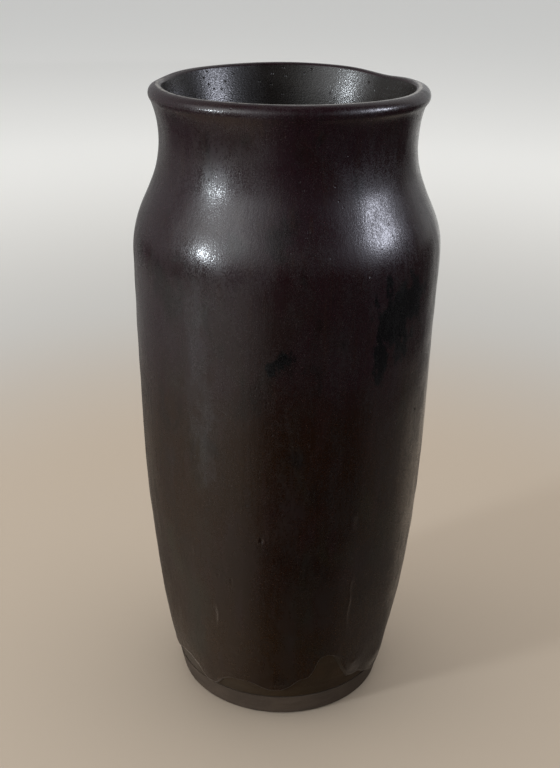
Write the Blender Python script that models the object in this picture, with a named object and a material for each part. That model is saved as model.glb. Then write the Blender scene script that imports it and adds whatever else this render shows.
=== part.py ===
"""Tall black clay pot: a coil-built body in sections, luted along bevelled laps, with a thin burnished coat
outside that stops short of the foot in a wavy raised edge, and a second coat lining the inside.
Metres, +Z up, standing on z = 0, axis on x = y = 0."""

import math

import bpy

# Driving dimensions
HEIGHT = 0.280  # table to the crest of the lip
SEGMENTS = 40  # flats round every ring
CLAY = 0.0044  # thickness of the clay wall
COAT = 0.0005  # thickness of each coat
GAP = 0.0003  # clearance between neighbouring pieces
SKIN = COAT + GAP  # how far the clay lies below a coated surface
LAP = 0.0040  # height of the bevelled lap between two wall sections

# Foot: a bare band with a shallow recess under the floor
FOOT_RADIUS = 0.0479
BAND_RADIUS = 0.04985
BAND_TOP = 0.0110
FOOT_ROUND = 0.0017
CREASE = 0.0008  # depth of the groove between band and wall
FOOT_INNER = 0.0380
SEAT_RADIUS = 0.0420  # the floor disc drops in here
SEAT_HEIGHT = 0.0045
RECESS = 0.0020  # underside of the floor above the table

# Finished outer surface of the body: height, radius, slope of the radius
STATIONS = (
    (0.0113, 0.0504, 0.220),  # above the crease
    (0.1500, 0.0640, 0.022),  # long gently bellied middle
    (0.2090, 0.06505, 0.0),  # widest, at the shoulder
    (0.2320, 0.0600, -0.460),  # shoulder turning in
    (0.2585, 0.0530, 0.0),  # neck
    (0.2730, 0.0554, 0.340),  # flare under the bead
)

# Heights of the laps between the clay sections
LOWER_TOP = 0.095
MIDDLE_TOP = 0.178
SHOULDER_TOP = 0.238
NECK_TOP = 0.264

# Lip: a rolled bead with a narrow inner edge
CREST_RADIUS = 0.0532
BEAD_RADIUS = 0.0569
BEAD_HEIGHT = 0.2764  # where the bead is widest
BEAD_START = -40  # degrees below the widest point
EDGE_RADIUS = 0.0523  # inner edge of the lip
EDGE_HEIGHT = 0.2789
THROAT_HEIGHT = 0.266  # below this the hollow follows the outside

# Wavy lower edge of the outer coat: mean height, then lobes as (angle from the front, rise, half-width)
COAT_EDGE = 0.0195
FAIR_HEIGHT = 0.045  # the coat's rows are level from here up
LOBES = (
    (-60, 0.003, 14),
    (-38, -0.0068, 9),
    (-20, 0.002, 8),
    (-3, -0.0045, 10),
    (24, 0.0125, 9),
    (52, -0.0055, 14),
    (86, 0.004, 12),
    (112, -0.005, 12),
    (141, 0.006, 13),
    (172, -0.004, 12),
    (200, 0.005, 12),
    (226, -0.006, 11),
    (258, 0.003, 13),
    (280, -0.004, 10),
)

# Rows of the wall surfaces: wide apart where it is nearly straight, closer round the shoulder and neck
LEVELS = [0.035 * k for k in range(1, 6)] + [0.197 + 0.0079 * k for k in range(10)]


def hermite(stations, z):
    """The smooth curve through the stations, each a height, a radius and a slope."""
    z = min(max(z, stations[0][0]), stations[-1][0])
    for (z0, r0, m0), (z1, r1, m1) in zip(stations, stations[1:]):
        if z <= z1:
            break
    span = z1 - z0
    t = (z - z0) / span
    rise = t * t * (3 - 2 * t)
    bend = span * (m0 * t * (1 - t) ** 2 - m1 * t * t * (1 - t))
    return r0 + (r1 - r0) * rise + bend


def outer_radius(z):
    return hermite(STATIONS, z)


def hollow_radius(z):
    """Radius of the finished inside: parallel to the outside, then flaring to the edge of the lip."""
    wall = CLAY + 2 * SKIN
    if z <= THROAT_HEIGHT:
        return outer_radius(z) - wall
    throat = (THROAT_HEIGHT, outer_radius(THROAT_HEIGHT) - wall, 0.17)
    return hermite((throat, (EDGE_HEIGHT, EDGE_RADIUS, 0.55)), z)


def rows(low, high):
    """Heights from low to high: both ends, and every level well between them."""
    return [low] + [z for z in LEVELS if low + 0.0025 < z < high - 0.0025] + [high]


def outside(low, high, inset):
    return [(outer_radius(z) - inset, z) for z in rows(low, high)]


def inside(low, high, inset):
    return [(hollow_radius(z) + inset, z) for z in reversed(rows(low, high))]


def arc(centre, across, up, start, end, steps):
    """Points of an elliptical arc, angles in degrees from straight outwards."""
    points = []
    for k in range(steps + 1):
        a = math.radians(start + (end - start) * k / steps)
        points.append((centre[0] + across * math.cos(a), centre[1] + up * math.sin(a)))
    return points


def lip(inset):
    """The bead from its underside, over the crest and down to the inner edge."""
    bead = arc(
        (CREST_RADIUS, BEAD_HEIGHT),
        BEAD_RADIUS - CREST_RADIUS - inset,
        HEIGHT - BEAD_HEIGHT - inset,
        BEAD_START,
        90,
        5,
    )
    edge = arc(
        (CREST_RADIUS, EDGE_HEIGHT),
        CREST_RADIUS - EDGE_RADIUS - inset,
        HEIGHT - EDGE_HEIGHT - inset,
        90,
        180,
        2,
    )
    return bead + edge[1:]


def coat_edge(angle):
    """Height of the outer coat's lower edge at this angle from the front, in degrees."""
    height = COAT_EDGE
    for centre, rise, width in LOBES:
        away = (angle - centre + 180) % 360 - 180
        height += rise * math.exp(-((away / width) ** 2))
    return height


def clay_material(name, colour, roughness):
    material = bpy.data.materials.new(name)
    material.use_nodes = True
    shader = material.node_tree.nodes["Principled BSDF"]
    shader.inputs["Base Color"].default_value = (*colour, 1)
    shader.inputs["Roughness"].default_value = roughness
    shader.inputs["Metallic"].default_value = 0.0
    material.diffuse_color = (*colour, 1)
    return material


def revolve(name, outline_at, colour, roughness):
    """A ring or a disc: the outline of each angle, joined round. A point on the axis becomes one pole."""
    vertices = []
    columns = []
    for s in range(SEGMENTS):
        degrees = 360 * s / SEGMENTS
        turn = math.radians(degrees - 90)  # 0 is the front, -Y
        column = []
        for i, (r, z) in enumerate(outline_at(degrees)):
            if r == 0 and s > 0:
                column.append(columns[0][i])
                continue
            column.append(len(vertices))
            vertices.append((r * math.cos(turn), r * math.sin(turn), z))
        columns.append(column)
    closed = vertices[columns[0][0]][:2] != (0, 0)
    count = len(columns[0])
    faces = []
    for s in range(SEGMENTS):
        here = columns[s]
        there = columns[(s + 1) % SEGMENTS]
        for i in range(count if closed else count - 1):
            j = (i + 1) % count
            corners = (here[i], there[i], there[j], here[j])
            faces.append(tuple(dict.fromkeys(corners)))
    mesh = bpy.data.meshes.new(name)
    mesh.from_pydata(vertices, [], faces)
    mesh.polygons.foreach_set("use_smooth", [True] * len(faces))
    mesh.set_sharp_from_angle(angle=math.radians(35))
    mesh.materials.append(clay_material(name + "_clay", colour, roughness))
    mesh.update()
    piece = bpy.data.objects.new(name, mesh)
    bpy.context.scene.collection.objects.link(piece)
    return piece


def wall_section(name, low, high, colour):
    """A ring of wall between two laps. The inner edge of each lap stands LAP above the outer one."""
    clear = GAP * math.hypot(1, LAP / CLAY)
    outer = outside(low - LAP / 2 + clear, high - LAP / 2, SKIN)
    inner = inside(low + LAP / 2 + clear, high + LAP / 2, SKIN)
    return revolve(name, lambda angle: outer + inner, colour, 0.75)


def build_foot():
    corner = (FOOT_RADIUS - FOOT_ROUND, FOOT_ROUND)
    outline = [(FOOT_INNER, 0.0008), (FOOT_INNER + 0.0008, 0)]
    outline += arc(corner, FOOT_ROUND, FOOT_ROUND, -90, -10, 3)
    outline += [
        (BAND_RADIUS, BAND_TOP - CREASE),
        (BAND_RADIUS - CREASE, BAND_TOP),
        (SEAT_RADIUS, BAND_TOP),
        (SEAT_RADIUS, SEAT_HEIGHT),
        (FOOT_INNER, SEAT_HEIGHT),
    ]
    revolve("foot_ring", lambda angle: outline, (0.085, 0.068, 0.058), 0.85)

    plug = FOOT_INNER - GAP
    seat = SEAT_RADIUS - GAP
    floor = [
        (0, RECESS),
        (plug, RECESS),
        (plug, SEAT_HEIGHT + GAP),
        (seat, SEAT_HEIGHT + GAP),
        (seat, BAND_TOP),
        (0, BAND_TOP),
    ]
    revolve("base_disc", lambda angle: floor, (0.080, 0.065, 0.056), 0.85)


def build_walls():
    bottom = BAND_TOP + GAP
    clear = GAP * math.hypot(1, LAP / CLAY)
    outer = [(outer_radius(bottom) - SKIN - CREASE, bottom)]
    outer += outside(bottom + CREASE, LOWER_TOP - LAP / 2, SKIN)
    inner = inside(bottom, LOWER_TOP + LAP / 2, SKIN)
    revolve("lower_wall", lambda angle: outer + inner, (0.060, 0.046, 0.038), 0.75)

    wall_section("middle_wall", LOWER_TOP, MIDDLE_TOP, (0.055, 0.043, 0.036))
    wall_section("shoulder", MIDDLE_TOP, SHOULDER_TOP, (0.060, 0.046, 0.038))
    wall_section("neck_collar", SHOULDER_TOP, NECK_TOP, (0.055, 0.043, 0.036))

    rim = outside(NECK_TOP - LAP / 2 + clear, STATIONS[-1][0], SKIN)
    rim += lip(SKIN)
    rim += inside(NECK_TOP + LAP / 2 + clear, EDGE_HEIGHT, SKIN)[1:]
    revolve("rim_roll", lambda angle: rim, (0.060, 0.046, 0.038), 0.7)


def build_coats():
    top = STATIONS[-1][0]

    def coat_side(angle, inset):
        """One face of the outer coat, whose first rows follow the wavy edge."""
        edge = coat_edge(angle)
        fair = [edge + (FAIR_HEIGHT - edge) * k / 3 for k in range(3)]
        levels = fair + rows(FAIR_HEIGHT, top)
        return [(outer_radius(z) - inset, z) for z in levels] + lip(inset)

    revolve(
        "outer_coat",
        lambda angle: coat_side(angle, 0) + coat_side(angle, COAT)[::-1],
        (0.018, 0.014, 0.014),
        0.35,
    )

    floor = BAND_TOP + GAP + COAT
    seam = EDGE_HEIGHT - GAP
    lining = inside(floor + 0.004, seam, 0)
    corner = (lining[-1][0] - 0.004, floor + 0.004)
    lining += arc(corner, 0.004, 0.004, 0, -90, 3)[1:]
    lining += [(0, floor), (0, floor - COAT)]
    lining += inside(floor - COAT, seam, COAT)[::-1]
    revolve("inner_coat", lambda angle: lining, (0.016, 0.013, 0.013), 0.4)


for old in list(bpy.data.objects):
    bpy.data.objects.remove(old, do_unlink=True)
build_foot()
build_walls()
build_coats()
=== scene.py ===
import math

import bmesh
import bpy
import numpy as np
from mathutils import Matrix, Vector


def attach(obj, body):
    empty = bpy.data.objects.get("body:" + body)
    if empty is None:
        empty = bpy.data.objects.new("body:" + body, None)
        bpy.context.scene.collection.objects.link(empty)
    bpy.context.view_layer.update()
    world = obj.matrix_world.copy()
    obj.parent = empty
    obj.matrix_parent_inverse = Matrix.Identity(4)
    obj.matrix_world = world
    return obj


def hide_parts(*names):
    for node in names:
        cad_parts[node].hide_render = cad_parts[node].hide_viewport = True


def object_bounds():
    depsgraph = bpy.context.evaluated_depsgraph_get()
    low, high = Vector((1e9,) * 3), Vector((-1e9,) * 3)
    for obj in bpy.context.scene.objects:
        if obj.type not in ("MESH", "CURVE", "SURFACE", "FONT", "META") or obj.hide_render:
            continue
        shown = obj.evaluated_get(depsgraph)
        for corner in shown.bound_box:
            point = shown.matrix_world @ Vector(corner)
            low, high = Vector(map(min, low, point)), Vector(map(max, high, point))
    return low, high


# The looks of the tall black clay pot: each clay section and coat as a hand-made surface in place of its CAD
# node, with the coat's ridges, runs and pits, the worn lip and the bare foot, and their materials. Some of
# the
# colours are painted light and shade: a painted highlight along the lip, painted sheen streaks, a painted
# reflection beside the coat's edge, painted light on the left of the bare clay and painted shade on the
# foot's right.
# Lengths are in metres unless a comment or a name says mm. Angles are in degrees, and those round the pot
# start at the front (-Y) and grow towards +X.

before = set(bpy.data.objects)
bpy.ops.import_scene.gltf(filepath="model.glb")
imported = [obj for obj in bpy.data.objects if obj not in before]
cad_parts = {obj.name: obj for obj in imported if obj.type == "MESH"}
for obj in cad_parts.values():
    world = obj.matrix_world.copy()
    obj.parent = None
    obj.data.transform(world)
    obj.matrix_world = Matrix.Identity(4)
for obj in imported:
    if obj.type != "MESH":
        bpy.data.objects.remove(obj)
cad_low, cad_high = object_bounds()
HEIGHT = cad_high.z - cad_low.z
MM = 0.001

# The turned shape: height, radius and slope of the finished outside, from the crease up to the bead
STATIONS = (
    (0.0113, 0.0504, 0.220),
    (0.1500, 0.0640, 0.022),
    (0.2090, 0.06505, 0.0),
    (0.2320, 0.0600, -0.460),
    (0.2585, 0.0530, 0.0),
    (0.2730, 0.0554, 0.340),
)

# The wall: its clay, a coat on each face and the clearance between the CAD nodes
CLAY = 4.4 * MM
COAT = 0.5 * MM
GAP = 0.3 * MM
SKIN = COAT + GAP

# The joints between wall sections, each a sloping lap
LAP = 4.0 * MM
LAP_CLEARANCE = GAP * math.hypot(1, LAP / CLAY)  # measured upwards
LOWER_TOP = 0.095
MIDDLE_TOP = 0.178
SHOULDER_TOP = 0.238
NECK_TOP = 0.264
WALL_TOP = STATIONS[-1][0]

# The foot: the bare band with the crease on top, and the seat and recess of the floor slab
BAND_TOP = 0.011
BAND_RADIUS = 0.04985
FOOT_RADIUS = 0.0479
FOOT_ROUND = 1.7 * MM
FOOT_INNER = 0.038
SEAT_RADIUS = 0.042
SEAT_HEIGHT = 0.0045
RECESS = 0.002

# The lip: crest, bead outside it and edge inside it
CREST_RADIUS = 0.0532
BEAD_RADIUS = 0.0569
BEAD_HEIGHT = 0.2764
EDGE_RADIUS = 0.0512
EDGE_HEIGHT = 0.2789
EDGE_SLOPE = 0.245
LIP_START = -40  # the bead's outline starts this far below its widest point
# The pale line along the lip's inner edge is partly wear and partly a painted highlight.
WORN_HIGHLIGHT_ROWS = slice(13, 17)  # rows of the bead from just short of the crest to just inside it
WORN_HIGHLIGHT_STRENGTH = (0.35, 1.0, 1.0, 0.4)

# The hollow runs parallel to the outside up to the throat, then flares: height, radius and slope
THROAT_HEIGHT = 0.259
THROAT_SLOPE = 0.02
FLARE = ((0.264, 0.0478, 0.205), (0.2755, 0.05038, 0.24))
LINING_ROUND = 4 * MM  # where the lining turns from the wall into the floor

# Rows of the outer coat follow its lower edge up to this height and are level above it
FAIR_HEIGHT = 0.050
FOLLOWING_ROWS = 73
BARE_TOP = 0.037  # the coat's edge stays below this, and the clay above it is hidden
LEVEL_STEP = 2.6 * MM
CURVED_FROM = 0.200
CURVED_ROWS = 48
TUCK = 0.05 * MM  # how far the coat's lower edge goes into the clay, so no gap shows

COAT_COLUMNS = 560
INNER_COLUMNS = 320
HIDDEN_COLUMNS = 120
SHARP_ANGLE = math.radians(40)


# ---------------------------------------------------------------- curves and fields


def hermite(stations, z):
    """The smooth curve through stations of height, radius and slope, for an array of heights."""
    z = np.clip(z, stations[0][0], stations[-1][0])
    out = np.zeros_like(z)
    for (z0, r0, m0), (z1, r1, m1) in zip(stations, stations[1:]):
        t = (z - z0) / (z1 - z0)
        bend = (z1 - z0) * (m0 * t * (1 - t) ** 2 - m1 * t * t * (1 - t))
        here = r0 + (r1 - r0) * t * t * (3 - 2 * t) + bend
        out = np.where(z >= z0, here, out)
    return out


def smooth(low, high, x):
    """0 at low rising smoothly to 1 at high, whichever of the two is the larger."""
    t = np.clip((x - low) / (high - low), 0, 1)
    return t * t * (3 - 2 * t)


def through(points, x, turn=None):
    """A smooth monotone curve through (x, y) points. With turn, the points repeat every turn."""
    xs = np.array([p[0] for p in points], float)
    ys = np.array([p[1] for p in points], float)
    if turn:
        x = (x - xs[0]) % turn + xs[0]
        xs = np.concatenate([[xs[-1] - turn], xs, [xs[0] + turn]])
        ys = np.concatenate([[ys[-1]], ys, [ys[0]]])
    slopes = np.diff(ys) / np.diff(xs)
    same = slopes[1:] * slopes[:-1] > 0
    mean = 2 * slopes[1:] * slopes[:-1] / np.where(same, slopes[1:] + slopes[:-1], 1)
    tangents = np.concatenate([[slopes[0]], np.where(same, mean, 0), [slopes[-1]]])
    i = np.clip(np.searchsorted(xs, x) - 1, 0, len(xs) - 2)
    span = xs[i + 1] - xs[i]
    t = np.clip((x - xs[i]) / span, 0, 1)
    bend = span * (tangents[i] * t * (1 - t) ** 2 - tangents[i + 1] * t * t * (1 - t))
    return ys[i] + (ys[i + 1] - ys[i]) * t * t * (3 - 2 * t) + bend


def hump(x, centre, half):
    """1 at the centre, falling off smoothly on both sides."""
    return np.exp(-(((x - centre) / half) ** 2))


def away(angle, centre):
    """Signed difference between angles, from -180 to 180 degrees."""
    return (angle - centre + 180) % 360 - 180


def bump(angle, centre, width):
    """The same for angles, which wrap round the pot."""
    return hump(away(angle, centre), 0, width)


def waves(angle, z, seed, count, turns, length, power=1.0):
    """Smooth unevenness: waves that close round the pot, up to turns round it and down to length tall."""
    draw = np.random.default_rng(seed)
    total = np.zeros(np.broadcast(angle, z).shape)
    weight = 0.0
    for _ in range(count):
        k = draw.integers(0, turns + 1)
        tall = length / draw.uniform(0.15, 1.0)
        phase = draw.uniform(0, 2 * math.pi, 2)
        size = 1.0 / (1 + k / turns) ** power
        total += size * np.cos(np.radians(angle) * k + phase[0]) * np.cos(2 * math.pi * z / tall + phase[1])
        weight += size * size / 4
    return total / math.sqrt(weight)


# The axis isn't quite straight: how far the pot leans towards -X, in mm, at each height in mm
LEAN_MM = (
    (0, 0.0),
    (26, 0.45),
    (85, 0.05),
    (165, 0.42),
    (216, 0.05),
    (240, 0.30),
    (248, 0.14),
    (257, 0.25),
    (272, 0.48),
    (280, 0.36),
)

# The lip isn't quite level: angle, rise in mm and half-width in degrees
LIP_RISES = (
    (180, 0.62, 30),
    (128, -1.45, 15),
    (105, -0.35, 10),
    (258, -1.0, 16),
    (0, -0.38, 45),
    (-55, -0.85, 30),
    (62, -0.6, 30),
)


def lean(z):
    """Sideways shift of the axis along X, averaged over nearby heights so that it bends gently."""
    shifts_mm = np.linspace(-12, 12, 13)
    share = np.exp(-((shifts_mm / 7) ** 2))
    total = sum(w * through(LEAN_MM, z / MM + shift) for w, shift in zip(share, shifts_mm))
    return -MM * total / share.sum()


def lip_rise(angle, z):
    """How far a point near the lip is raised, from nothing in the neck to the full rise at the bead."""
    total = sum(MM * rise * bump(angle, centre, width) for centre, rise, width in LIP_RISES)
    return total * smooth(0.262, 0.277, z)


def wobble(angle, z):
    """The hand-made unevenness that every layer shares. It fades out at the foot and is small at the lip."""
    waist = -0.35 * MM * hump(z, 0.178, 0.022)
    belly = 0.22 * MM * hump(z, 0.062, 0.04) + 0.18 * MM * smooth(0.03, 0.06, z)
    groove = -0.22 * MM * hump(z, 0.2449, 0.0055)
    full = 0.30 * MM * hump(z, 0.2195, 0.009)
    full = full + 0.4 * MM * bump(angle, 85, 35) * hump(z, 0.265, 0.008)
    broad = 0.10 * MM * waves(angle, z, 11, 14, 4, 0.060)
    fine = 0.035 * MM * waves(angle, z, 12, 40, 14, 0.016)
    hold = smooth(0.011, 0.022, z) * (1 - 0.7 * smooth(0.262, 0.274, z))
    return waist + belly + groove + full + (broad + fine) * hold


def outer_radius(angle, z):
    """The finished outside."""
    return hermite(STATIONS, z) + wobble(angle, z)


def hollow_radius(angle, z):
    """The finished inside: parallel to the outside, then an even flare that turns out at the lip."""
    wall = CLAY + 2 * SKIN
    throat_radius = float(hermite(STATIONS, np.array(THROAT_HEIGHT))) - wall
    throat = (THROAT_HEIGHT, throat_radius, THROAT_SLOPE)
    flare = hermite((throat, *FLARE, (EDGE_HEIGHT, EDGE_RADIUS, EDGE_SLOPE)), z)
    return np.where(z <= THROAT_HEIGHT, hermite(STATIONS, z) - wall, flare) + wobble(angle, z)


# ---------------------------------------------------------------- the coat's edge

# Lower edge of the second coat: angle and height in mm
TOP_EDGE = (
    (-84, 16.0),
    (-66, 17.8),
    (-58, 20.5),
    (-53, 20.9),
    (-47, 17.8),
    (-43, 13.2),
    (-40, 11.6),
    (-36, 11.8),
    (-30, 17.2),
    (-25, 19.4),
    (-20, 20.0),
    (-13, 19.1),
    (-9, 17.7),
    (-4, 16.0),
    (0, 15.9),
    (4.5, 17.7),
    (10.5, 22.2),
    (14, 23.3),
    (16.6, 26.4),
    (18.8, 32.0),
    (20.5, 34.8),
    (23.3, 35.6),
    (26.2, 34.6),
    (29, 32.0),
    (32, 26.5),
    (35, 20.6),
    (38, 16.9),
    (45, 16.0),
    (52, 12.3),
    (60, 9.2),
    (70, 10.6),
    (82, 15.5),
    (96, 21.0),
    (110, 17.0),
    (121, 13.5),
    (136, 22.5),
    (150, 24.5),
    (163, 15.5),
    (178, 13.0),
    (190, 19.5),
    (206, 23.0),
    (219, 14.5),
    (228, 12.0),
    (241, 20.0),
    (256, 22.5),
    (268, 17.5),
)

# Lower edge of the thin first coat, angle and height in mm. It shows only where it's lower than the second
# coat's edge, between about 30 and 100 degrees. Elsewhere the first coat ends just under the second.
FIRST_EDGE = (
    (-100, 40.0),
    (20, 40.0),
    (30, 27.5),
    (34.5, 20.6),
    (38, 16.2),
    (46, 15.3),
    (60, 8.8),
    (75, 12.0),
    (100, 40.0),
    (160, 40.0),
)

SECOND_COAT = 0.46 * MM
FIRST_COAT = SKIN - SECOND_COAT
RIDGE = 0.20 * MM  # how far the second coat swells along its edge, and the first coat less
RIDGE_INSIDE = 0.8 * MM  # how far inside the edge the ridge stands, and its half-width


def top_edge(angle):
    """Height of the second coat's lower edge."""
    wander = 0.22 * waves(angle, 0 * angle, 21, 24, 46, 1.0, power=0.5)
    return MM * (through(TOP_EDGE, angle, 360) + wander)


def first_edge(angle):
    """Height of the first coat's lower edge, never above the second's."""
    wander = 0.18 * waves(angle, 0 * angle, 22, 20, 40, 1.0, power=0.5)
    lower = MM * (through(FIRST_EDGE, angle, 360) + wander)
    return np.minimum(lower, top_edge(angle) - 0.3 * MM)


def beyond(edge, angle, z):
    """How far a point lies above an edge, measured square to the edge."""
    step = 0.4
    slope = (edge(angle + step) - edge(angle - step)) / (math.radians(2 * step) * BAND_RADIUS)
    return (z - edge(angle)) / np.sqrt(1 + slope**2)


def faded(angle):
    """1 where the second coat feathers out softly and 0 where its edge is crisp."""
    return bump(angle, 32.0, 3.4)


def coat_step(above, thickness, roll, ridge):
    """Thickness of a coat at a distance above its edge: a rolled front, a ridge, then level."""
    rise = np.sqrt(np.clip(1 - (1 - np.clip(above / roll, 0, 1)) ** 2, 0, 1))
    swell = ridge * hump(above, RIDGE_INSIDE, RIDGE_INSIDE) * (above > 0)
    return (thickness + swell) * rise


# Runs that stand proud of the coat: angle, lowest and highest point, half-width in degrees, relief
RUNS = (
    (-28.7, 0.049, 0.063, 0.50, 0.22 * MM),
    (-38.5, 0.084, 0.092, 0.50, 0.14 * MM),
    (29.2, 0.099, 0.112, 1.60, 0.10 * MM),
    (30.6, 0.042, 0.078, 0.55, 0.17 * MM),
    (-28.5, 0.140, 0.188, 0.60, 0.08 * MM),
    (30.9, 0.184, 0.200, 0.40, 0.08 * MM),
    (118.0, 0.040, 0.083, 0.7, 0.20 * MM),
    (203.0, 0.048, 0.090, 0.6, 0.18 * MM),
    (252.0, 0.035, 0.070, 0.8, 0.16 * MM),
)

RUN_RELIEF = 0.2 * MM  # a run this proud is painted at full strength

# Soft swellings of the coat near its edge: angle, height, half-width in degrees, half-height, relief
SWELLS = (
    (42, 0.027, 6, 5 * MM, 0.30 * MM),
    (63, 0.018, 10, 6 * MM, 0.80 * MM),
    (39.7, 0.0255, 1.5, 1.3 * MM, 0.30 * MM),
    (43.0, 0.0190, 1.7, 1.2 * MM, 0.28 * MM),
    (-24, 0.0235, 2.2, 1.2 * MM, 0.14 * MM),
    (-38, 0.016, 6, 4 * MM, 0.30 * MM),
    (-4, 0.019, 8, 4 * MM, 0.22 * MM),
    (121, 0.018, 8, 5 * MM, 0.35 * MM),
    (178, 0.017, 9, 5 * MM, 0.35 * MM),
    (228, 0.017, 8, 5 * MM, 0.4 * MM),
)


def runs(angle, z):
    """Relief of the runs, each wandering a little sideways and fading at both ends."""
    total = np.zeros(np.broadcast(angle, z).shape)
    for centre, low, high, width, relief in RUNS:
        middle = centre + 0.22 * np.sin(z * 420 + centre)
        along = smooth(low - 2 * MM, (low + high) / 2, z) * (1 - smooth(high - 2 * MM, high + 2 * MM, z))
        total += relief * bump(angle, middle, width) * along
    return total


def swells(angle, z):
    """Relief of the soft swellings."""
    total = np.zeros(np.broadcast(angle, z).shape)
    for centre, height, width, tall, relief in SWELLS:
        total += relief * bump(angle, centre, width) * hump(z, height, tall)
    return total


def coat_thickness(angle, z):
    """Thickness of both coats over the clay."""
    soft = faded(angle)
    first = coat_step(beyond(first_edge, angle, z), FIRST_COAT, 2.5 * MM, 0.3 * RIDGE)
    second = coat_step(beyond(top_edge, angle, z), SECOND_COAT, (0.9 + 4 * soft) * MM, (1 - soft) * RIDGE)
    return first + second


# ---------------------------------------------------------------- meshes


def columns(count):
    """Evenly spaced angles once round the pot."""
    return np.arange(count) * 360.0 / count


def surface(name, radii, heights, angles, cup=False):
    """A turned mesh. radii and heights hold one row for each point of the outline and one column for each
    angle. The last row joins the first, or with cup, both end in a single point on the axis."""
    rows, count = radii.shape
    turn = np.radians(angles)[None, :]
    x = radii * np.sin(turn) + lean(heights)
    y = -radii * np.cos(turn)
    points = np.stack([x, y, heights], axis=-1).reshape(-1, 3)
    index = np.arange(rows * count).reshape(rows, count)
    ahead = np.roll(index, -1, axis=1)
    lower, upper = (index[:-1], index[1:]) if cup else (index, np.roll(index, -1, axis=0))
    lower_ahead, upper_ahead = (ahead[:-1], ahead[1:]) if cup else (ahead, np.roll(ahead, -1, axis=0))
    quads = np.stack([lower, lower_ahead, upper_ahead, upper], axis=-1).reshape(-1, 4)
    faces = quads.tolist()
    for row, next_row in ((ahead[0], index[0]), (index[-1], ahead[-1])) if cup else ():
        pole = len(points)
        middle = [[points[row, 0].mean(), 0.0, points[row, 2].mean()]]
        points = np.concatenate([points, middle])
        faces += [(pole, a, b) for a, b in zip(row.tolist(), next_row.tolist())]
    mesh = bpy.data.meshes.new(name)
    mesh.from_pydata(points.tolist(), [], faces)
    face_out(mesh)
    mesh.polygons.foreach_set("use_smooth", [True] * len(mesh.polygons))
    mesh.set_sharp_from_angle(angle=SHARP_ANGLE)
    piece = bpy.data.objects.new(name, mesh)
    bpy.context.scene.collection.objects.link(piece)
    return piece


def face_out(mesh):
    """Turns every face outwards, by the sign of the closed mesh's volume."""
    count = len(mesh.polygons)
    centres = np.empty(count * 3)
    normals = np.empty(count * 3)
    areas = np.empty(count)
    mesh.polygons.foreach_get("center", centres)
    mesh.polygons.foreach_get("normal", normals)
    mesh.polygons.foreach_get("area", areas)
    flow = (centres.reshape(-1, 3) * normals.reshape(-1, 3)).sum(axis=1)
    if (flow * areas).sum() < 0:
        mesh.flip_normals()


def grid(heights, angles):
    """Heights and angles as full arrays, one row for each height."""
    return np.broadcast_arrays(np.asarray(heights, float)[:, None], angles[None, :])


def paint(piece, name, values):
    """Stores a value for each vertex, which the material reads by name."""
    layer = piece.data.attributes.new(name, "FLOAT", "POINT")
    full = np.zeros(len(piece.data.vertices), np.float32)
    full[: values.size] = values.reshape(-1)
    layer.data.foreach_set("value", full)


def lip_rows(inset, outer_steps, edge_steps, angles):
    """The bead from its underside over the crest to the inner edge, as rows of radii and heights."""
    out = np.radians(np.linspace(LIP_START, 90, outer_steps))
    edge = np.radians(np.linspace(90, 180, edge_steps))[1:]
    fuller = 0.35 * MM * bump(angles, 88, 26) - 0.25 * MM * bump(angles, 275, 30)
    across = (BEAD_RADIUS - CREST_RADIUS - inset) + fuller
    radii = [CREST_RADIUS + across * math.cos(a) for a in out]
    heights = [BEAD_HEIGHT + (HEIGHT - BEAD_HEIGHT - inset) * math.sin(a) for a in out]
    narrow = CREST_RADIUS - EDGE_RADIUS - inset
    radii += [CREST_RADIUS + narrow * math.cos(a) + 0 * angles for a in edge]
    heights += [EDGE_HEIGHT + (HEIGHT - EDGE_HEIGHT - inset) * math.sin(a) for a in edge]
    z, turn = grid(heights, angles)
    r = np.array(radii) + wobble(turn, z)
    return r, z + lip_rise(turn, z)


def wall_rows(levels, angles, inset):
    """Rows of the outside at the given heights, set in by an inset."""
    z, turn = grid(levels, angles)
    return outer_radius(turn, z) - inset, z + lip_rise(turn, z)


def hollow_rows(levels, angles, inset):
    """Rows of the hollow at the given heights, set out into the wall by an inset."""
    z, turn = grid(levels, angles)
    return hollow_radius(turn, z) + inset, z + lip_rise(turn, z)


def stack(*parts):
    """Several runs of rows as one."""
    return np.concatenate([p[0] for p in parts]), np.concatenate([p[1] for p in parts])


def flipped(rows):
    """The same rows in the opposite order."""
    return rows[0][::-1], rows[1][::-1]


def ridge_line_and_reflection(turn, z):
    """How strongly the pale edge lines and the painted reflection of the floor beside them show at a point.
    """
    above = beyond(top_edge, turn, z)
    first_above = beyond(first_edge, turn, z)
    strong = np.maximum(bump(turn, -50, 15), 0.4 * bump(turn, 42, 6))
    shown = 0.5 + 1.1 * strong - 0.3 * bump(turn, 24, 9) - 0.3 * faded(turn)
    first_shown = 0.12 + 0.5 * bump(turn, 46, 7)
    line = shown * hump(above, 0.6 * MM, (0.5 + 0.6 * strong) * MM)
    first_line = first_shown * hump(first_above, 0.4 * MM, 0.5 * MM)
    # A painted reflection: a pale patch on the lower right where a facet reflects the light floor.
    floor_reflection = 0.75 * bump(turn, 41, 5) * hump(z, 0.0215, 5 * MM)
    return np.maximum(np.maximum(line, first_line), floor_reflection)


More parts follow.
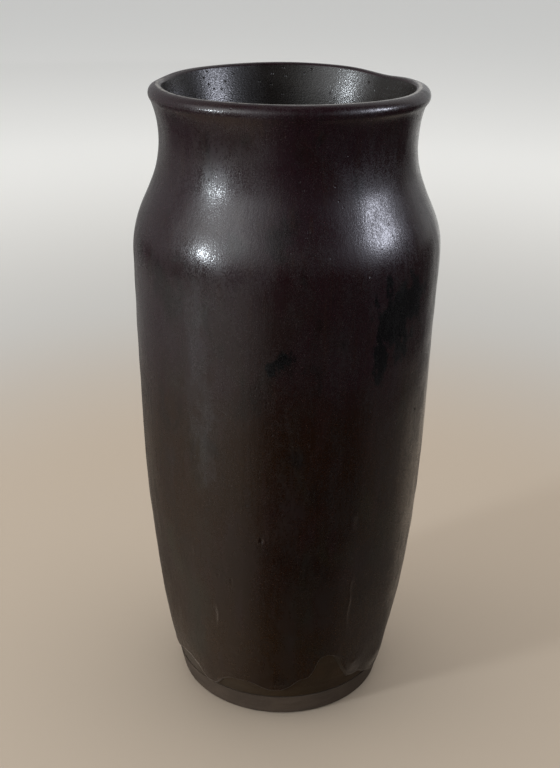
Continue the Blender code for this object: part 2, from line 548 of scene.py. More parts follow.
def build_outer_coat():
    """The outside coat with its lower edge, the bead it covers and its hidden back."""
    angles = columns(COAT_COLUMNS)
    low = first_edge(angles)
    share = np.linspace(0, 1, FOLLOWING_ROWS + 1)[:-1, None]
    z_low = low + (FAIR_HEIGHT - low) * share
    straight = np.arange(FAIR_HEIGHT, CURVED_FROM, LEVEL_STEP)
    curved = np.linspace(CURVED_FROM, WALL_TOP, CURVED_ROWS)
    z_high, _ = grid(np.concatenate([straight, curved]), angles)
    z = np.concatenate([z_low, z_high])
    turn = np.broadcast_to(angles, z.shape)
    clay = outer_radius(turn, z) - SKIN
    radii = clay + coat_thickness(turn, z) + runs(turn, z) + swells(turn, z)
    radii[0] = clay[0] - TUCK
    body = (radii, z + lip_rise(turn, z))
    lip = lip_rows(0, 15, 6, angles)
    lining_back = lip_rows(COAT, 5, 3, angles)
    back = wall_rows(np.linspace(WALL_TOP, FAIR_HEIGHT, 60), angles, COAT)
    skirt_z = low + 2 * MM
    skirt = (outer_radius(angles, skirt_z) - SKIN - TUCK)[None, :], skirt_z[None, :]
    r, h = stack(body, lip, flipped(lining_back), back, skirt)
    piece = surface("coat_outside", r, h, angles)

    rows = len(body[0])
    covered = np.ones_like(r)
    covered[:rows] = smooth(-0.1 * MM, 0.9 * MM, beyond(top_edge, turn, z))
    ridge = np.zeros_like(r)
    # Pale ridge lines and runs, and beside the edge a painted reflection of the floor
    ridge[:rows] = np.maximum(ridge_line_and_reflection(turn, z), 0.8 * runs(turn, z) / RUN_RELIEF)
    worn_and_highlight = np.zeros_like(r)
    # The pale lip line, wear and a painted highlight, is painted on the front half only.
    front = smooth(130, 80, np.abs(away(angles, 0)))
    worn_and_highlight[rows : rows + len(lip[0])][WORN_HIGHLIGHT_ROWS] = np.array(WORN_HIGHLIGHT_STRENGTH)[:, None] * front
    paint(piece, "covered", covered)
    paint(piece, "ridge", ridge)
    paint(piece, "worn_and_highlight", worn_and_highlight)
    return piece


def build_inner_coat():
    """The lining: one sheet inside and one behind it, each closed on the axis, joined at the lip."""
    angles = columns(INNER_COLUMNS)
    floor = BAND_TOP + GAP + COAT
    corner_z = floor + LINING_ROUND
    seam = EDGE_HEIGHT - 0.03 * MM
    levels = np.concatenate([np.linspace(seam, 0.25, 34), np.linspace(0.25, corner_z, 60)[1:]])
    face = hollow_rows(levels, angles, 0)
    corner = face[0][-1] - LINING_ROUND
    bend = np.radians(np.linspace(0, -90, 7))[1:, None]
    fillet = corner + LINING_ROUND * np.cos(bend), corner_z + LINING_ROUND * np.sin(bend) + 0 * angles
    inward = np.linspace(0.94, 0.04, 22)[:, None]
    ripple = 0.12 * MM * np.cos(inward * 60)
    bottom = corner * inward, floor + ripple + 0 * angles
    under_r = corner * np.linspace(0.05, 1.0, 4)[:, None]
    under = under_r, floor - COAT + 0 * under_r
    back = hollow_rows(np.linspace(floor - COAT, seam, 60), angles, COAT)
    inside = stack(face, fillet, bottom)
    r, h = stack(flipped(inside), flipped(stack(under, back)))
    return surface("coat_inside", r, h, angles, cup=True)


def wall_section(name, low, high):
    """One hidden section of the clay wall, between the laps at two heights."""
    angles = columns(HIDDEN_COLUMNS)
    outer = wall_rows(np.linspace(low - LAP / 2 + LAP_CLEARANCE, high - LAP / 2, 18), angles, SKIN)
    inner = hollow_rows(np.linspace(low + LAP / 2 + LAP_CLEARANCE, high + LAP / 2, 18), angles, SKIN)
    r, h = stack(outer, flipped(inner))
    return surface(name, r, h, angles)


def build_rim():
    """The clay of the lip, hidden by the coats."""
    angles = columns(HIDDEN_COLUMNS)
    outer = wall_rows(np.linspace(NECK_TOP - LAP / 2 + LAP_CLEARANCE, WALL_TOP, 8), angles, SKIN)
    lip = lip_rows(SKIN, 8, 4, angles)
    inner_from = NECK_TOP + LAP / 2 + LAP_CLEARANCE
    inner = hollow_rows(np.linspace(inner_from, EDGE_HEIGHT, 9)[:-1], angles, SKIN)
    r, h = stack(outer, lip, flipped(inner))
    return surface("rim_clay", r, h, angles)


def build_lower_wall():
    """The wall above the foot. Below the coat it shows as bare clay, with turning marks."""
    angles = columns(COAT_COLUMNS)
    bottom = BAND_TOP + 0.05 * MM
    turned_in = np.array([0.7, 0.25, 0.05])[:, None] * MM
    z, turn = grid(bottom + np.array([0.0, 0.15, 0.45]) * MM, angles)
    crease = outer_radius(turn, z) - SKIN - turned_in, z
    bare = np.linspace(bottom + 1.0 * MM, BARE_TOP, 44)
    hidden = np.linspace(BARE_TOP, LOWER_TOP - LAP / 2, 14)[1:]
    z, turn = grid(np.concatenate([bare, hidden]), angles)
    marks = 0.035 * MM * waves(turn, z, 31, 30, 5, 3.2 * MM) * (1 - smooth(0.030, 0.036, z))
    outer = outer_radius(turn, z) - SKIN + marks, z
    inner = hollow_rows(np.linspace(bottom, LOWER_TOP + LAP / 2, 16), angles, SKIN)
    r, h = stack(crease, outer, flipped(inner))
    piece = surface("lower_wall_clay", r, h, angles)
    # Painted light: the bare clay is painted paler on its left, the side the windows light.
    side = away(angles, 0)
    far_left = 0.85 * smooth(-40, -52, side) * smooth(-175, -120, side)
    painted_light = np.maximum(far_left, 0.22 * smooth(10, -25, side))
    paint(piece, "painted_light", painted_light * smooth(0.035, 0.02, h))
    return piece


def build_foot_ring():
    """The bare band the pot stands on, a little uneven, its arrises softened by wear."""
    angles = columns(COAT_COLUMNS)
    middle = FOOT_RADIUS - FOOT_ROUND
    profile = [(FOOT_INNER + 0.8 * MM, 0.0)]
    profile += [(r, 0.0) for r in np.linspace(FOOT_INNER + 2 * MM, middle, 6)]
    for a in np.radians(np.linspace(-90, -10, 8))[1:]:
        profile.append((middle + FOOT_ROUND * math.cos(a), FOOT_ROUND + FOOT_ROUND * math.sin(a)))
    start_r, start_z = profile[-1]
    band_z = BAND_TOP - 0.15 * MM
    for t in np.linspace(0.06, 1, 17):
        profile.append((start_r + (BAND_RADIUS - start_r) * t, start_z + (band_z - start_z) * t))
    top = BAND_TOP - 0.05 * MM
    profile.append((BAND_RADIUS - 0.5 * MM, top))
    outside = len(profile)
    profile += [(SEAT_RADIUS, top), (SEAT_RADIUS, SEAT_HEIGHT)]
    profile += [(FOOT_INNER, SEAT_HEIGHT), (FOOT_INNER, 0.8 * MM)]
    r, turn = grid([p[0] for p in profile], angles)
    z, _ = grid([p[1] for p in profile], angles)
    r = r.copy()
    side = smooth(middle, FOOT_RADIUS, r) * smooth(0.0, FOOT_ROUND, z)
    uneven = 0.10 * MM * waves(turn, z, 41, 16, 7, 0.03) + 0.04 * MM * waves(turn, z, 42, 30, 30, 3.0 * MM)
    r[:outside] += (uneven * side)[:outside]
    piece = surface("foot_band", r, z.copy(), angles)
    # Painted shade: the band is painted darker on its right, where it lies in shadow.
    paint(piece, "shaded_right", 0.6 * smooth(18, 50, turn) * smooth(120, 90, turn))
    return piece


def build_base():
    """The floor slab: a plug inside the foot ring and a wider part that sits on the ring's seat."""
    angles = columns(HIDDEN_COLUMNS)
    plug = FOOT_INNER - GAP
    seat = SEAT_RADIUS - GAP
    middle = 2 * MM
    dish = [(x, RECESS + 0.25 * MM * math.cos(x * 420)) for x in np.linspace(middle, plug - 1 * MM, 16)]
    profile = dish + [(plug, RECESS + 0.6 * MM), (plug, SEAT_HEIGHT + GAP), (seat, SEAT_HEIGHT + GAP)]
    profile += [(seat, BAND_TOP - 0.4 * MM), (seat - 0.4 * MM, BAND_TOP), (middle, BAND_TOP)]
    r, _ = grid([p[0] for p in profile], angles)
    z, _ = grid([p[1] for p in profile], angles)
    return surface("base_clay", r, z, angles, cup=True)


# Pits in the coat: angle, height, half-width, depth
PITS = (
    (-8.2, 0.1020, 0.80 * MM, 0.42 * MM),
    (-27.0, 0.1393, 0.55 * MM, 0.25 * MM),
    (-27.9, 0.0978, 0.50 * MM, 0.16 * MM),
    (-24.5, 0.0923, 0.50 * MM, 0.16 * MM),
    (-26.9, 0.0800, 0.65 * MM, 0.30 * MM),
    (-21.1, 0.0790, 0.65 * MM, 0.30 * MM),
    (-19.8, 0.0496, 0.45 * MM, 0.20 * MM),
    (7.6, 0.2337, 0.55 * MM, 0.18 * MM),
    (13.7, 0.2030, 0.45 * MM, 0.16 * MM),
    (25.0, 0.1955, 0.45 * MM, 0.18 * MM),
    (60.0, 0.150, 0.55 * MM, 0.25 * MM),
    (96.0, 0.082, 0.70 * MM, 0.35 * MM),
    (140.0, 0.190, 0.60 * MM, 0.28 * MM),
    (171.0, 0.104, 0.80 * MM, 0.38 * MM),
    (215.0, 0.062, 0.65 * MM, 0.32 * MM),
    (232.0, 0.168, 0.60 * MM, 0.28 * MM),
    (285.0, 0.121, 0.60 * MM, 0.28 * MM),
)


def sink_pits(piece, pits):
    """Refines the mesh round each pit and presses a small crater with a raised rim into it."""
    bm = bmesh.new()
    bm.from_mesh(piece.data)
    for angle, height, half, depth in pits:
        turn = math.radians(angle)
        skin = float(outer_radius(np.array(angle), np.array(height))) - 0.25 * MM
        reach = 4 * half + 1.6 * MM

        def far_from_pit(v):
            across = v.co.x * math.cos(turn) + v.co.y * math.sin(turn)
            return math.hypot(across, v.co.z - height)

        def on_skin(v):
            """True on the coat's outer face near the pit's height and on its side of the pot."""
            out = v.co.x * math.sin(turn) - v.co.y * math.cos(turn)
            if abs(v.co.z - height) >= reach or out <= skin - 2 * MM:
                return False
            return math.hypot(v.co.x - lean(v.co.z), v.co.y) > skin

        near = [v for v in bm.verts if on_skin(v) and far_from_pit(v) < reach]
        chosen = set(near)
        edges = dict.fromkeys(e for v in near for e in v.link_edges if e.other_vert(v) in chosen)
        bmesh.ops.subdivide_edges(bm, edges=list(edges), cuts=3, use_grid_fill=True)
        for v in bm.verts:
            if on_skin(v):
                far = far_from_pit(v) / half
                press = depth * (math.exp(-(far**2)) - 0.22 * math.exp(-(((far - 1.7) / 0.6) ** 2)))
                v.co.x -= press * math.sin(turn)
                v.co.y += press * math.cos(turn)
    bm.to_mesh(piece.data)
    bm.free()
    piece.data.update()


# ---------------------------------------------------------------- materials


class Nodes:
    """A short way to build a material's nodes."""

    def __init__(self, name):
        self.material = bpy.data.materials.new(name)
        self.material.use_nodes = True
        self.tree = self.material.node_tree
        self.shader = self.tree.nodes["Principled BSDF"]
        self.where = self.tree.nodes.new("ShaderNodeTexCoord").outputs["Object"]

    def link(self, value, socket):
        """Joins another node's output to a socket, or sets the socket to a constant."""
        if isinstance(value, bpy.types.NodeSocket):
            self.tree.links.new(value, socket)
        else:
            socket.default_value = value

    def scaled(self, scale):
        """The object's own coordinates, multiplied."""
        node = self.tree.nodes.new("ShaderNodeMapping")
        node.inputs["Scale"].default_value = scale
        self.tree.links.new(self.where, node.inputs["Vector"])
        return node.outputs["Vector"]

    def noise(self, size, detail=3.0, squeeze=(1, 1, 1), warp=0.0):
        """Noise with features about size metres across, longer along an axis with a squeeze below 1."""
        node = self.tree.nodes.new("ShaderNodeTexNoise")
        self.tree.links.new(self.scaled(tuple(s / size for s in squeeze)), node.inputs["Vector"])
        node.inputs["Scale"].default_value = 1.0
        node.inputs["Detail"].default_value = detail
        node.inputs["Roughness"].default_value = 0.55
        node.inputs["Distortion"].default_value = warp
        return node.outputs["Fac"]

    def cells(self, size):
        """Distance to the nearest of many points about size metres apart, as a share of size."""
        node = self.tree.nodes.new("ShaderNodeTexVoronoi")
        self.tree.links.new(self.scaled((1 / size, 1 / size, 1 / size)), node.inputs["Vector"])
        node.inputs["Scale"].default_value = 1.0
        return node.outputs["Distance"]

    def painted(self, name):
        """A value that paint() stored on the mesh, 0 where there is none."""
        node = self.tree.nodes.new("ShaderNodeAttribute")
        node.attribute_name = name
        return node.outputs["Fac"]

    def ramp(self, value, low, high, to_low=0.0, to_high=1.0):
        """A smooth step from to_low, at and below low, to to_high, at and above high."""
        node = self.tree.nodes.new("ShaderNodeMapRange")
        node.interpolation_type = "SMOOTHSTEP"
        self.link(value, node.inputs["Value"])
        node.inputs["From Min"].default_value = low
        node.inputs["From Max"].default_value = high
        node.inputs["To Min"].default_value = to_low
        node.inputs["To Max"].default_value = to_high
        return node.outputs["Result"]

    def math(self, operation, a, b):
        node = self.tree.nodes.new("ShaderNodeMath")
        node.operation = operation
        self.link(a, node.inputs[0])
        self.link(b, node.inputs[1])
        return node.outputs["Value"]

    def mix(self, share, a, b):
        """Colour a with a share of colour b."""
        node = self.tree.nodes.new("ShaderNodeMix")
        node.data_type = "RGBA"
        self.link(share, node.inputs["Factor"])
        for value, socket in ((a, node.inputs[6]), (b, node.inputs[7])):
            self.link((*value, 1) if isinstance(value, tuple) else value, socket)
        return node.outputs[2]

    def height(self):
        """Height above the floor."""
        node = self.tree.nodes.new("ShaderNodeSeparateXYZ")
        self.tree.links.new(self.where, node.inputs["Vector"])
        return node.outputs["Z"]

    def blots(self, places, fade):
        """Ragged patches at the given places, 1 inside and 0 outside. They fade between two distances, given
        as shares of a patch's half-width."""
        edge = self.ramp(self.noise(0.0045, 4.0, (1, 1, 0.5)), 0.25, 0.75, -0.75, 0.75)
        total = 0.0
        for angle, height, half_wide, half_tall in places:
            turn = math.radians(angle)
            radius = float(outer_radius(np.array(angle), np.array(height)))
            node = self.tree.nodes.new("ShaderNodeVectorMath")
            node.operation = "SUBTRACT"
            self.tree.links.new(self.where, node.inputs[0])
            node.inputs[1].default_value = (radius * math.sin(turn), -radius * math.cos(turn), height)
            scale = self.tree.nodes.new("ShaderNodeVectorMath")
            scale.operation = "MULTIPLY"
            self.tree.links.new(node.outputs["Vector"], scale.inputs[0])
            scale.inputs[1].default_value = (1 / half_wide, 1 / half_wide, 1 / half_tall)
            far = self.tree.nodes.new("ShaderNodeVectorMath")
            far.operation = "LENGTH"
            self.tree.links.new(scale.outputs["Vector"], far.inputs[0])
            inside = self.ramp(self.math("ADD", far.outputs["Value"], edge), *fade, 1, 0)
            total = self.math("MAXIMUM", total, inside)
        return total

    def relief(self, value, depth, under=None):
        """A normal for fine bumps, on top of the bumps under it."""
        node = self.tree.nodes.new("ShaderNodeBump")
        self.link(value, node.inputs["Height"])
        node.inputs["Distance"].default_value = depth
        if under is not None:
            self.tree.links.new(under, node.inputs["Normal"])
        return node.outputs["Normal"]


# Dark blots in the coat: angle, height, half-width and half-height in metres
BLOTS = (
    (-1.0, 0.1846, 3.7 * MM, 3.5 * MM),
    (-2.8, 0.1832, 3.2 * MM, 2.8 * MM),
    (-4.6, 0.1812, 2.4 * MM, 2.8 * MM),
    (42.0, 0.1950, 9.0 * MM, 16.0 * MM),
    (51.0, 0.2010, 6.0 * MM, 11.0 * MM),
    (35.0, 0.1820, 4.5 * MM, 9.0 * MM),
    (166.0, 0.1500, 4.5 * MM, 8.0 * MM),
    (232.0, 0.2020, 7.0 * MM, 14.0 * MM),
)
BLOT_FADE = (0.75, 1.2)

# Faint pale streaks in the coat, a painted sheen in place of a highlight, given in the same way
SHEEN_STREAKS = (
    (-33.5, 0.1840, 3.4 * MM, 22.0 * MM),
    (-30.5, 0.1480, 3.0 * MM, 20.0 * MM),
    (150.0, 0.1300, 3.0 * MM, 26.0 * MM),
)
SHEEN_STREAK_FADE = (0.1, 1.9)

# Colours of the coat
PURPLE = (0.0125, 0.0047, 0.0068)
RED_BROWN = (0.0092, 0.0026, 0.0012)
BROWN = (0.0105, 0.0032, 0.0002)
GREY = (0.0105, 0.0080, 0.0040)
UMBER = (0.0160, 0.0056, 0.0003)
BLACK = (0.0030, 0.0015, 0.0010)
STREAK = (0.0150, 0.0058, 0.0046)
SPECK = (0.0330, 0.0260, 0.0250)
LINING = (0.0140, 0.0130, 0.0105)
# A painted sheen: the colour of the pale streaks that stand in for a highlight
PAINTED_SHEEN = (0.0370, 0.0370, 0.0390)
BLOT = (0.0012, 0.0012, 0.0014)
THIN_COAT = (0.0230, 0.0110, 0.0020)
# Pale ridge lines, and a painted reflection of the floor beside the coat's edge
RIDGE_LINE_AND_REFLECTION = (0.1500, 0.1250, 0.1050)
# The pale lip line: wear and a painted highlight
WORN_HIGHLIGHT_COAT = (0.2500, 0.2350, 0.2150)
COAT_IOR = 1.45

# Colours of the bare clay: paler where painted light falls on its left, darker where painted shade lies on
# the foot's right
# Painted light on the left of the bare clay
LIT_CLAY = (0.0720, 0.0560, 0.0430)
# Painted shade on the foot's right
SHADED_CLAY = (0.0230, 0.0125, 0.0040)


def mottled(n):
    """The coat's own colour: purple above, brown and umber below, with clouds, streaks and specks."""
    broad = n.noise(0.040, 4.0, (1, 1, 0.6), warp=0.5)
    clouds = n.noise(0.016, 5.0, (1, 1, 0.6), warp=0.3)
    ashes = n.noise(0.024, 4.0, (1, 1, 0.5), warp=0.4)
    streaks = n.noise(0.0032, 4.0, (1, 1, 0.10))
    specks = n.noise(0.0010, 2.0, (1, 1, 0.6))
    height = n.height()
    lower = n.ramp(height, 0.135, 0.190, 0.85, 0.0)
    grey = n.math("MULTIPLY", n.ramp(ashes, 0.54, 0.70), n.ramp(height, 0.145, 0.185, 0.7, 0.25))
    black = n.math("MULTIPLY", n.ramp(clouds, 0.56, 0.68, 0, 0.65), n.ramp(height, 0.10, 0.17, 0.4, 1.0))
    colour = n.mix(n.ramp(broad, 0.42, 0.56), RED_BROWN, PURPLE)
    colour = n.mix(n.ramp(height, 0.145, 0.185, 0, 0.6), colour, PURPLE)
    colour = n.mix(n.math("MULTIPLY", lower, n.ramp(clouds, 0.25, 0.50, 0.55, 1.0)), colour, BROWN)
    colour = n.mix(n.ramp(height, 0.030, 0.085, 0.85, 0.0), colour, UMBER)
    colour = n.mix(grey, colour, GREY)
    colour = n.mix(black, colour, BLACK)
    colour = n.mix(n.ramp(streaks, 0.52, 0.72, 0, 0.55), colour, STREAK)
    return n.mix(n.ramp(specks, 0.62, 0.76, 0, 0.35), colour, SPECK)


def marked(n, colour):
    """The outside's own marks: painted sheen streaks, blots, the thin first coat, the ridge and runs with a
    painted reflection beside the edge, and the worn lip with a painted highlight.
    """
    thin = n.ramp(n.painted("covered"), 0.2, 0.9, 1, 0)
    ridge = n.math("MULTIPLY", n.painted("ridge"), n.ramp(n.noise(0.006, 4.0), 0.3, 0.6, 0.7, 1.0))
    worn_and_highlight = n.math("MULTIPLY", n.painted("worn_and_highlight"), n.ramp(n.noise(0.004, 3.0), 0.25, 0.6, 0.45, 1.0))
    # Painted sheen streaks, in place of a highlight
    colour = n.mix(n.math("MULTIPLY", n.blots(SHEEN_STREAKS, SHEEN_STREAK_FADE), 0.28), colour, PAINTED_SHEEN)
    colour = n.mix(n.math("MULTIPLY", n.blots(BLOTS, BLOT_FADE), 0.93), colour, BLOT)
    colour = n.mix(thin, colour, THIN_COAT)
    # Pale ridge lines and runs, and a painted reflection of the floor beside the edge
    colour = n.mix(n.ramp(ridge, 0.15, 1.4, 0, 0.85), colour, RIDGE_LINE_AND_REFLECTION)
    # The pale lip line: wear and a painted highlight along the inner edge
    return n.mix(n.ramp(worn_and_highlight, 0.2, 0.9, 0, 0.8), colour, WORN_HIGHLIGHT_COAT)


def coat_roughness(n, inside):
    """Uneven gloss: clouds and a fine grain, and outside also brushing and a duller foot and thin coat."""
    roughness = n.ramp(n.noise(0.012, 5.0, (1, 1, 0.35)), 0.34, 0.66, 0.16, 0.31)
    parts = [n.ramp(n.noise(0.00050, 1.0, (1, 1, 0.8)), 0.36, 0.64, -0.07, 0.11)]
    if not inside:
        parts.append(n.ramp(n.noise(0.0017, 3.0, (1, 1, 0.3)), 0.36, 0.64, -0.030, 0.040))
        parts.append(n.ramp(n.height(), 0.02, 0.17, 0.10, 0.0))
        parts.append(n.ramp(n.painted("covered"), 0.2, 0.9, 0.12, 0.0))
    for part in parts:
        roughness = n.math("ADD", roughness, part)
    return roughness


def coat_normal(n, inside):
    """Fine relief: a soft peel, a grain and small pores, and outside also brushing."""
    if inside:
        peel = n.relief(n.noise(0.0030, 2.0, (0.4, 0.4, 1)), 0.03 * MM)
        grain = n.relief(n.noise(0.00060, 2.0, (0.7, 0.7, 1)), 0.09 * MM, peel)
        near_lip = n.ramp(n.height(), 0.262, 0.271, 1.0, 0.0)
        pores = n.math("MAXIMUM", n.ramp(n.cells(0.0038), 0.05, 0.17), near_lip)
        return n.relief(pores, 0.3 * MM, grain)
    peel = n.relief(n.noise(0.0045, 2.0, (1, 1, 0.6)), 0.02 * MM)
    drag = n.relief(n.noise(0.0020, 3.0, (1, 1, 0.12)), 0.055 * MM, peel)
    grain = n.relief(n.noise(0.00052, 1.2, (1, 1, 0.7)), 0.045 * MM, drag)
    return n.relief(n.ramp(n.cells(0.0058), 0.03, 0.10), 0.10 * MM, grain)


def coat_material(name, inside=False):
    """Dark iron-brown coat, mottled and with a fine granular lustre."""
    n = Nodes(name)
    colour = n.mix(0.75, mottled(n), LINING) if inside else marked(n, mottled(n))
    n.link(colour, n.shader.inputs["Base Color"])
    n.link(coat_roughness(n, inside), n.shader.inputs["Roughness"])
    n.link(coat_normal(n, inside), n.shader.inputs["Normal"])
    n.shader.inputs["IOR"].default_value = COAT_IOR
    return n.material


def clay_material(name, colour, fleck, specular):
    """Bare fired clay: grainy and matt, with turning marks and with painted light and shade where the mesh
    says so.
    """
    n = Nodes(name)
    patch = n.noise(0.014, 4.0, (1, 1, 1.6), warp=0.3)
    grain = n.noise(0.0009, 3.0)
    rings = n.noise(0.0016, 3.0, (0.05, 0.05, 1))
    dark = tuple(c * 0.78 for c in colour)
    base = n.mix(n.ramp(patch, 0.35, 0.65), dark, colour)
    base = n.mix(n.ramp(grain, 0.58, 0.72, 0, 0.6), base, fleck)
    base = n.mix(n.ramp(rings, 0.45, 0.7, 0, 0.35), base, tuple(c * 0.7 for c in fleck))
    # Painted light: paler on the lit left side
    base = n.mix(n.painted("painted_light"), base, LIT_CLAY)
    # Painted shade: darker on the shadowed right side
    base = n.mix(n.painted("shaded_right"), base, SHADED_CLAY)
    n.link(base, n.shader.inputs["Base Color"])
    n.link(n.ramp(patch, 0.3, 0.7, 0.86, 0.72), n.shader.inputs["Roughness"])
    lines = n.relief(rings, 0.08 * MM)
    n.link(n.relief(grain, 0.12 * MM, lines), n.shader.inputs["Normal"])
    n.shader.inputs["Specular IOR Level"].default_value = specular
    return n.material


def floor_material():
    """Plain pale floor, warm beneath the pot and whiter far away."""
    warm = (0.450, 0.372, 0.292)
    neutral = (0.470, 0.455, 0.430)
    white = (0.95, 0.94, 0.91)
    n = Nodes("pale_floor")
    far = n.tree.nodes.new("ShaderNodeVectorMath")
    far.operation = "LENGTH"
    n.tree.links.new(n.where, far.inputs[0])
    colour = n.mix(n.ramp(far.outputs["Value"], 0.22, 0.55), warm, neutral)
    colour = n.mix(n.ramp(far.outputs["Value"], 0.35, 1.3), colour, white)
    n.link(colour, n.shader.inputs["Base Color"])
    n.shader.inputs["Roughness"].default_value = 0.75
    n.shader.inputs["Specular IOR Level"].default_value = 0.25
    return n.material


# ---------------------------------------------------------------- the pot


def place(piece, node, material):
    """Gives a piece its material and puts it in place of its CAD node."""
    piece.data.materials.append(material)
    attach(piece, "root")
    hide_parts(node)


body_clay = clay_material(
    "body_clay_look", colour=(0.0350, 0.0200, 0.0085), fleck=(0.055, 0.040, 0.023), specular=0.12
)
bare_clay = clay_material(
    "bare_clay_look", colour=(0.068, 0.048, 0.034), fleck=(0.100, 0.078, 0.060), specular=0.22
)
outside = build_outer_coat()
sink_pits(outside, PITS)
place(outside, "outer_coat", coat_material("outer_coat_look"))
place(build_inner_coat(), "inner_coat", coat_material("inner_coat_look", inside=True))
place(build_rim(), "rim_roll", body_clay)
place(wall_section("neck_clay", SHOULDER_TOP, NECK_TOP), "neck_collar", body_clay)
place(wall_section("shoulder_clay", MIDDLE_TOP, SHOULDER_TOP), "shoulder", body_clay)
place(wall_section("middle_wall_clay", LOWER_TOP, MIDDLE_TOP), "middle_wall", body_clay)
place(build_lower_wall(), "lower_wall", body_clay)
place(build_foot_ring(), "foot_ring", bare_clay)
place(build_base(), "base_disc", bare_clay)


# ---------------------------------------------------------------- stage


LIGHT_DISTANCE = 1.5
ROOM_RADIUS = 2.2
ROOM_CLOSES_AT = 60  # the reflected room is a cylinder up to this elevation, and narrows above it
DARK_SHEET_HEIGHT = 0.17


def build_floor():
    """A plain square floor under the pot."""
    size = 9.0
    mesh = bpy.data.meshes.new("floor")
    corners = [(-size, -size, 0), (size, -size, 0), (size, size, 0), (-size, size, 0)]
    mesh.from_pydata(corners, [], [(0, 1, 2, 3)])
    mesh.materials.append(floor_material())
    floor = bpy.data.objects.new("floor", mesh)
    bpy.context.scene.collection.objects.link(floor)


def around(azimuth, elevation, distance):
    """The placing of something that stands in a direction from the pot's middle and looks back at it."""
    centre = np.array([0, 0, 0.15])
    a, e = math.radians(azimuth), math.radians(elevation)
    out = np.array([math.sin(a) * math.cos(e), -math.cos(a) * math.cos(e), math.sin(e)])
    side = np.array([math.cos(a), math.sin(a), 0])
    up = np.cross(out, side)
    up = up if up[2] > 0 else -up
    side = np.cross(up, out)
    at = centre + out * distance
    return Matrix([[side[i], up[i], out[i], at[i]] for i in range(3)] + [[0, 0, 0, 1]])


def soft_light(name, azimuth, elevation, wide, tall, radiance, colour, shape="ELLIPSE"):
    """A light that looks wide by tall degrees from the pot. The camera doesn't see it."""
    data = bpy.data.lights.new(name, "AREA")
    data.shape = shape
    data.size = 2 * LIGHT_DISTANCE * math.tan(math.radians(wide / 2))
    data.size_y = 2 * LIGHT_DISTANCE * math.tan(math.radians(tall / 2))
    area = data.size * data.size_y * (math.pi / 4 if shape == "ELLIPSE" else 1)
    data.energy = radiance * math.pi * area
    data.color = colour
    light = bpy.data.objects.new(name, data)
    light.matrix_world = around(azimuth, elevation, LIGHT_DISTANCE)
    light.visible_camera = False
    bpy.context.scene.collection.objects.link(light)
    return light


def room_seen(azimuth, elevation, distance):
    """What the coat reflects in a direction: how much darkness covers the pale room and how bright each
    window's glow is. The floor's elevation is below 0 and distance is measured along it."""
    on_floor = elevation < 0
    # The front of the room is dark, and so is the floor there, except beside the pot and to the right of it
    right_end = np.where(on_floor, smooth(150, 122, azimuth), smooth(128, 104, azimuth))
    front = smooth(-36, -3, azimuth) * right_end
    start = 48 - 20 * smooth(0.24, 0.14, distance)
    right_side = smooth(start, start + 25, azimuth) * (0.32 + 0.68 * smooth(90, 118, azimuth))
    near = smooth(0.48, 0.28, distance)
    lit = near * right_side + 0.12 * smooth(0.16, 0.10, distance) * (1 - right_side)
    front = front * (1 - np.where(on_floor, lit, 0.0))
    # The back left is half dark, and the part overhead is dark all round
    back_left = np.where(on_floor, 0.56, 0.42) * smooth(-60, -112, azimuth)
    overhead = 0.9 * smooth(54, 66, elevation)
    dark = np.maximum(np.maximum(front, back_left), overhead)
    # A soft glow lies round each window
    left = 4.0 * np.exp(-(((azimuth + 54) / 33) ** 2) - ((elevation - 28) / 18) ** 2)
    right = 2.5 * np.exp(-(((azimuth - 74) / 26) ** 2) - ((elevation - 22) / 14) ** 2)
    left = np.where(on_floor, 0.0, left)
    right = np.where(on_floor, 0.0, right)
    return np.maximum(dark, smooth(0.02, 0.4, left + right)), left, right


def reflected_sheet(name, distances, heights, angles, dark, left, right):
    """A card that only reflections show. Rows are rings round the pot and columns are directions."""
    turn = np.radians(angles)
    points = np.stack([distances * np.sin(turn), -distances * np.cos(turn), heights], axis=-1).reshape(-1, 3)
    rows, count = distances.shape
    at = np.arange(rows * count).reshape(rows, count)
    faces = np.stack([at[:-1, :-1], at[:-1, 1:], at[1:, 1:], at[1:, :-1]], axis=-1).reshape(-1, 4)
    mesh = bpy.data.meshes.new(name)
    mesh.from_pydata(points.tolist(), [], faces.tolist())
    card = bpy.data.objects.new(name, mesh)
    paint(card, "dark", dark)
    paint(card, "left", left)
    paint(card, "right", right)
    strength = 5.0
    n = Nodes(name + "_look")
    n.shader.inputs["Base Color"].default_value = (0.010, 0.009, 0.009, 1)
    n.shader.inputs["Roughness"].default_value = 1.0
    n.shader.inputs["Emission Strength"].default_value = strength
    glow = n.mix(n.math("MULTIPLY", n.painted("left"), 1 / strength), (0, 0, 0), (0.95, 0.98, 1.0))
    glow = n.mix(n.math("MULTIPLY", n.painted("right"), 1 / strength), glow, (0.84, 0.88, 1.0))
    n.link(glow, n.shader.inputs["Emission Color"])
    n.link(n.painted("dark"), n.shader.inputs["Alpha"])
    mesh.materials.append(n.material)
    card.visible_camera = False
    card.visible_diffuse = False
    card.visible_shadow = False
    bpy.context.scene.collection.objects.link(card)


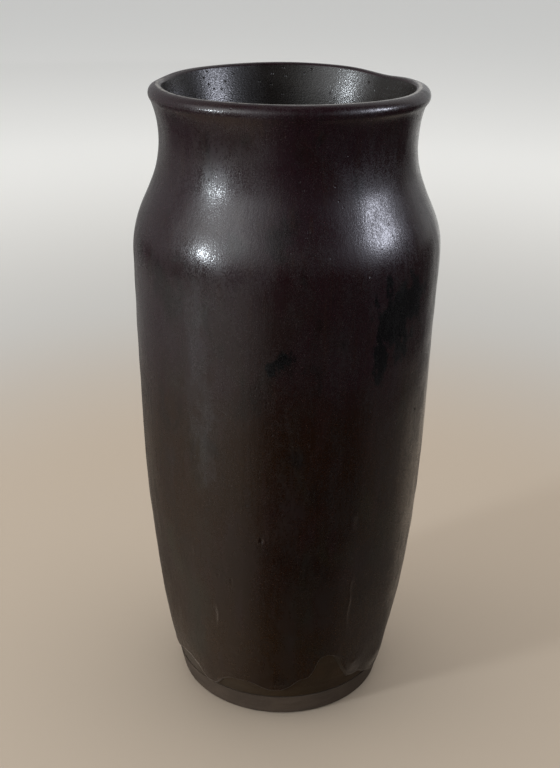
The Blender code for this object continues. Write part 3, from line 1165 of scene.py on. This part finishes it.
def reflected_room():
    """The dark and bright parts of the room beyond the lights, and a low dark sheet on the left that only
    reflections show.
    """
    angles = np.linspace(-180, 180, 121)
    floor = [0.06, 0.09, 0.12, 0.15, 0.18, 0.24, 0.30, 0.38, 0.46, 0.56, 0.66, 0.80, 1.2, ROOM_RADIUS]
    floor = np.array(floor)
    climb = np.concatenate([np.arange(0, ROOM_CLOSES_AT, 3), [ROOM_CLOSES_AT, 68, 76, 84]])
    closing = math.tan(math.radians(ROOM_CLOSES_AT)) / np.tan(np.radians(np.maximum(climb, 1)))
    far = ROOM_RADIUS * np.minimum(1, closing)
    walls = 0.15 + far * np.tan(np.radians(climb))
    distances, azimuths = grid(np.concatenate([floor, far]), angles)
    heights, _ = grid(np.concatenate([0 * floor + 1 * MM, walls]), angles)
    elevations, _ = grid(np.concatenate([-np.ones_like(floor), climb]), angles)
    seen = room_seen(azimuths, elevations, distances)
    reflected_sheet("room_reflected", distances, heights, angles, *seen)

    # Painted reflected shade: a dark sheet, seen only in reflections, that darkens the neck under the bead
    angles = np.linspace(-135, -20, 36)
    distances, azimuths = grid(np.linspace(0.16, 0.62, 16), angles)
    dark = 0.85 * smooth(0.16, 0.24, distances) * smooth(0.57, 0.42, distances)
    dark = dark * smooth(-20, -38, azimuths) * smooth(-135, -115, azimuths)
    none = 0 * dark
    reflected_sheet("dark_sheet_reflected", distances, none + DARK_SHEET_HEIGHT, angles, dark, none, none)


def build_world():
    """Even pale light from all round."""
    world = bpy.data.worlds.new("studio")
    world.use_nodes = True
    back = world.node_tree.nodes["Background"]
    back.inputs["Color"].default_value = (0.86, 0.87, 0.88, 1)
    back.inputs["Strength"].default_value = 0.68
    bpy.context.scene.world = world


def build_camera():
    """The photograph's viewpoint, looking down at the front with a slight roll."""
    look_down = 23.634
    roll = 0.878
    data = bpy.data.cameras.new("camera")
    data.lens = 51.98
    data.sensor_width = 36
    camera = bpy.data.objects.new("camera", data)
    pitch = Matrix.Rotation(math.radians(90 - look_down), 4, "X")
    tilt = pitch @ Matrix.Rotation(math.radians(roll), 4, "Z")
    camera.matrix_world = Matrix.Translation((-0.00206, -0.4592, 0.3475)) @ tilt
    bpy.context.scene.collection.objects.link(camera)
    bpy.context.scene.camera = camera


build_floor()
reflected_room()
build_world()
soft_light("window_left", -61, 13.5, 7, 6, 143, (0.87, 0.94, 1.0))
window_right = soft_light("window_right", 78, 23, 22, 12, 20.5, (0.83, 0.86, 1.0))
window_right.visible_diffuse = False
ceiling = soft_light("ceiling", 180, 78, 50, 40, 1.9, (1.0, 0.98, 0.95), shape="RECTANGLE")
ceiling.visible_glossy = False
for side, heading, radiance in (("left", -80, 1.25), ("right", 95, 0.6)):
    fill = soft_light(f"fill_{side}", heading, 36, 50, 45, radiance, (1.0, 0.97, 0.93))
    fill.visible_glossy = False
build_camera()
bpy.context.scene.view_settings.view_transform = "Standard"
